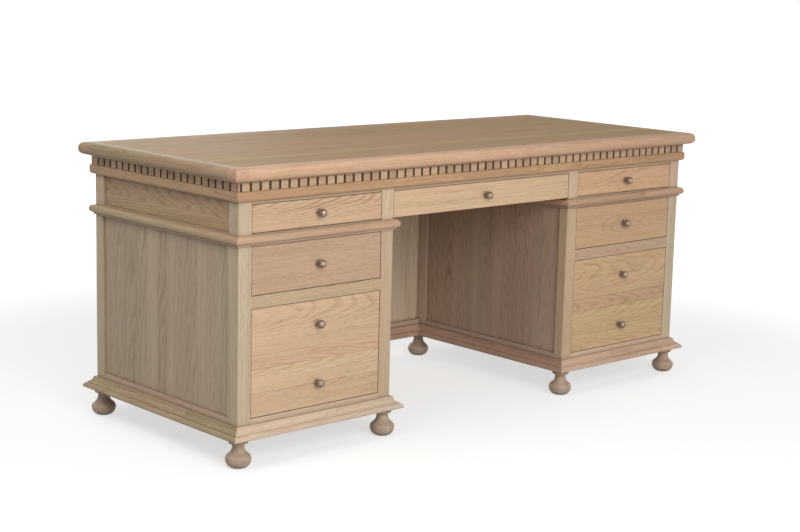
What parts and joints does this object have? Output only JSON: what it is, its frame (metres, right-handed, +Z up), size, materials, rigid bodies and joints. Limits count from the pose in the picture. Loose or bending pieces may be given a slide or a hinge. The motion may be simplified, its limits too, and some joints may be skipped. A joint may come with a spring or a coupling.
{
  "type": "executive desk",
  "caption": "Oak pedestal desk with a dentil cornice, turned bun feet, flush drawers that slide out on wooden runners, and an open kneehole with a modesty panel.",
  "frame": {"origin": "on the floor, at the middle of the desk's length and depth", "axes": "+X along the desk's length to the right of a person who faces the drawers, +Y to the back, away from that person, and +Z up"},
  "size_m": [1.796, 0.73, 0.7735],
  "materials": {
    "oak_top": "glued-up oak planks, satin lacquer",
    "oak_lipping": "solid oak, satin lacquer",
    "oak_moulding": "solid oak mouldings, satin lacquer",
    "oak_dentil": "solid oak, block colours vary, satin lacquer",
    "oak_frame": "solid oak posts and rails, satin lacquer",
    "oak_panel": "glued-up oak panels, satin lacquer",
    "oak_drawer_front": "solid oak drawer fronts, satin lacquer",
    "oak_drawer_lining": "planed oak, waxed",
    "oak_inside": "planed oak, unfinished",
    "oak_feet": "turned oak, satin lacquer",
    "knob_metal": "antiqued dark bronze, worn bright on the face"
  },
  "bodies": {
    "root": {"top_field": "oak_top", "top_front_lipping": "oak_lipping", "top_back_lipping": "oak_lipping", "top_end_lippings": "oak_lipping", "top_fixing_blocks": "oak_inside", "cornice_fillet": "oak_moulding", "dentil_strip_front": "oak_dentil", "dentil_strip_back": "oak_dentil", "dentil_strips_ends": "oak_dentil", "cornice_band": "oak_moulding", "upper_case_posts": "oak_frame", "upper_case_rails": "oak_frame", "upper_case_panels": "oak_panel", "upper_case_partitions": "oak_inside", "upper_case_dust_boards": "oak_inside", "upper_case_runners": "oak_inside", "waist_moulding": "oak_moulding", "base_moulding": "oak_moulding", "modesty_rails": "oak_frame", "modesty_panel": "oak_panel", "drawer_stops": "oak_inside", "bun_feet": "oak_feet", "left_pedestal_posts": "oak_frame", "left_pedestal_rails": "oak_frame", "left_pedestal_panels": "oak_panel", "left_pedestal_boards": "oak_inside", "left_pedestal_runners": "oak_inside", "right_pedestal_posts": "oak_frame", "right_pedestal_rails": "oak_frame", "right_pedestal_panels": "oak_panel", "right_pedestal_boards": "oak_inside", "right_pedestal_runners": "oak_inside"},
    "left_frieze_drawer": {"left_frieze_drawer_front": "oak_drawer_front", "left_frieze_drawer_box": "oak_drawer_lining", "left_frieze_drawer_bottom": "oak_drawer_lining", "left_frieze_knob": "knob_metal"},
    "centre_frieze_drawer": {"centre_frieze_drawer_front": "oak_drawer_front", "centre_frieze_drawer_box": "oak_drawer_lining", "centre_frieze_drawer_bottom": "oak_drawer_lining", "centre_frieze_knob": "knob_metal"},
    "right_frieze_drawer": {"right_frieze_drawer_front": "oak_drawer_front", "right_frieze_drawer_box": "oak_drawer_lining", "right_frieze_drawer_bottom": "oak_drawer_lining", "right_frieze_knob": "knob_metal"},
    "left_upper_drawer": {"left_upper_drawer_front": "oak_drawer_front", "left_upper_drawer_box": "oak_drawer_lining", "left_upper_drawer_bottom": "oak_drawer_lining", "left_upper_knob": "knob_metal"},
    "left_file_drawer": {"left_file_drawer_front": "oak_drawer_front", "left_file_drawer_box": "oak_drawer_lining", "left_file_drawer_bottom": "oak_drawer_lining", "left_file_knob": "knob_metal"},
    "right_upper_drawer": {"right_upper_drawer_front": "oak_drawer_front", "right_upper_drawer_box": "oak_drawer_lining", "right_upper_drawer_bottom": "oak_drawer_lining", "right_upper_knob": "knob_metal"},
    "right_file_drawer": {"right_file_drawer_front": "oak_drawer_front", "right_file_drawer_box": "oak_drawer_lining", "right_file_drawer_bottom": "oak_drawer_lining", "right_file_knob": "knob_metal"}
  },
  "joints": [
    {"name": "left_frieze_drawer_slide", "type": "slide", "parent": "root", "child": "left_frieze_drawer", "axis": [0, -1, 0], "range_m": [0, 0.4]},
    {"name": "centre_frieze_drawer_slide", "type": "slide", "parent": "root", "child": "centre_frieze_drawer", "axis": [0, -1, 0], "range_m": [0, 0.4]},
    {"name": "right_frieze_drawer_slide", "type": "slide", "parent": "root", "child": "right_frieze_drawer", "axis": [0, -1, 0], "range_m": [0, 0.4]},
    {"name": "left_upper_drawer_slide", "type": "slide", "parent": "root", "child": "left_upper_drawer", "axis": [0, -1, 0], "range_m": [0, 0.4]},
    {"name": "left_file_drawer_slide", "type": "slide", "parent": "root", "child": "left_file_drawer", "axis": [0, -1, 0], "range_m": [0, 0.4]},
    {"name": "right_upper_drawer_slide", "type": "slide", "parent": "root", "child": "right_upper_drawer", "axis": [0, -1, 0], "range_m": [0, 0.4]},
    {"name": "right_file_drawer_slide", "type": "slide", "parent": "root", "child": "right_file_drawer", "axis": [0, -1, 0], "range_m": [0, 0.4]}
  ]
}
